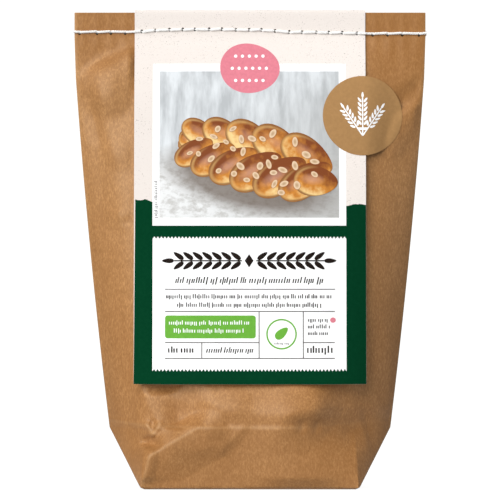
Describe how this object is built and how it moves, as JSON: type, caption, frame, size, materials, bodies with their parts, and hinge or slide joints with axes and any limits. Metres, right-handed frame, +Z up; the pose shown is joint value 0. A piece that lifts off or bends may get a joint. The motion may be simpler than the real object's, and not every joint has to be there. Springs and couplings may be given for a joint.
{
  "type": "sewn kraft paper bag of brioche baking mix",
  "caption": "Filled kraft paper bag of baking mix, standing on its cross bottom, with a folded-over paper label sewn into the top seam and a round sticker.",
  "frame": {"origin": "on the floor, under the middle of the folded base", "axes": "+Z up to the sewn top edge, -Y towards the front with the long label, +X to the right as seen from the front"},
  "size_m": [0.161, 0.065, 0.2171],
  "materials": {
    "kraft": "matt brown kraft paper with visible fibres",
    "label": "smooth printed label paper, cream above a dark green field",
    "sticker": "satin tan sticker paper",
    "thread": "twisted off-white cotton"
  },
  "bodies": {
    "root": {"bag": "kraft", "label": "label", "sticker": "sticker", "thread": "thread"}
  },
  "joints": []
}
